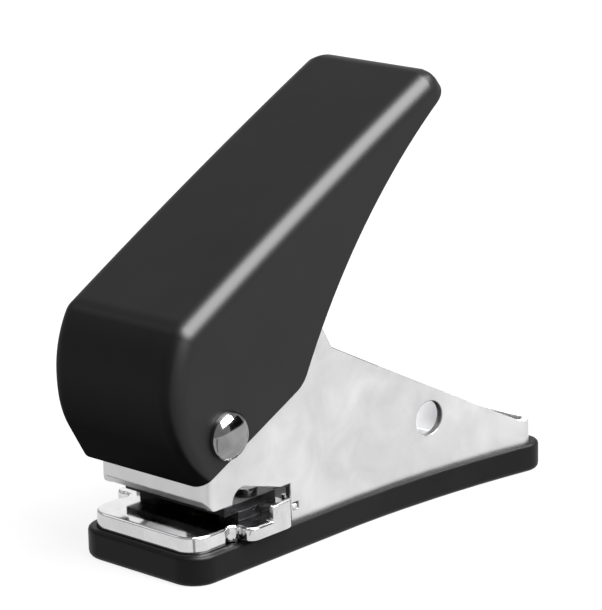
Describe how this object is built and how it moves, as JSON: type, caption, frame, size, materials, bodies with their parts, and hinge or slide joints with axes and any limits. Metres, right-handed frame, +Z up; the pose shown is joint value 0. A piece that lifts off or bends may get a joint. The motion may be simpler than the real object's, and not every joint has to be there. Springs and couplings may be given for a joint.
{
  "type": "dart flight punch",
  "caption": "Hand punch for dart flights: a sprung lever drives a pin through the flight held in the slot of a flat jaw; chips fall into a push-on tray.",
  "frame": {"origin": "on the table under the middle of the part's overall box", "axes": "+Z up, -Y towards the jaw's open front, +X to the side that the picture shows"},
  "size_m": [0.0376, 0.0902, 0.0761],
  "materials": {
    "plated_steel": "zinc-plated sheet, faintly mottled, satin",
    "bright_plate": "bright nickel plate, mirror-like on the flats",
    "tool_steel": "ground hardened steel",
    "dark_steel": "blackened steel, satin",
    "bush_brass": "turned brass",
    "rivet_steel": "bright-plated steel, lightly scuffed",
    "washer_nylon": "natural nylon",
    "spring_wire": "drawn spring wire",
    "lever_steel": "zinc-plated sheet, satin",
    "cover_black": "black moulding, fine grain, soft sheen",
    "tray_black": "black moulding, fine grain, satin"
  },
  "bodies": {
    "tray": {"chip_tray": "tray_black"},
    "frame": {"side_frame": "plated_steel", "die_plate": "bright_plate", "die_bush": "tool_steel", "flight_stop": "dark_steel", "guide_plate": "dark_steel", "guide_bush": "bush_brass", "jaw_rivets": "rivet_steel", "pivot_sleeve": "dark_steel", "cam_spacers": "dark_steel", "return_spring": "spring_wire"},
    "lever": {"lever_cover": "cover_black", "lever_channel": "lever_steel", "cover_screws": "rivet_steel", "punch_cam": "tool_steel", "cam_pin": "rivet_steel", "pivot_rivet": "rivet_steel", "pivot_washers": "washer_nylon"},
    "punch": {"punch_pin": "tool_steel", "spring_cup": "rivet_steel"}
  },
  "joints": [
    {"name": "frame_lift", "type": "slide", "parent": "tray", "child": "frame", "axis": [0, 0, 1], "range_m": [0, 0.012]},
    {"name": "lever_press", "type": "hinge", "parent": "frame", "child": "lever", "pos_m": [0, -0.0329, 0.025], "axis": [-1, 0, 0], "range_deg": [0, 21.22], "stiffness_Nm_per_rad": 0.105, "springref_deg": -21.2},
    {"name": "punch_drop", "type": "slide", "parent": "frame", "child": "punch", "axis": [0, 0, -1], "range_m": [0, 0.003], "stiffness_N_per_m": 0.1, "springref_m": -0.078, "deforming": ["return_spring"]}
  ],
  "couplings": [
    {"joint": "punch_drop", "follows": "lever_press", "m_per_rad": 0.0081}
  ]
}
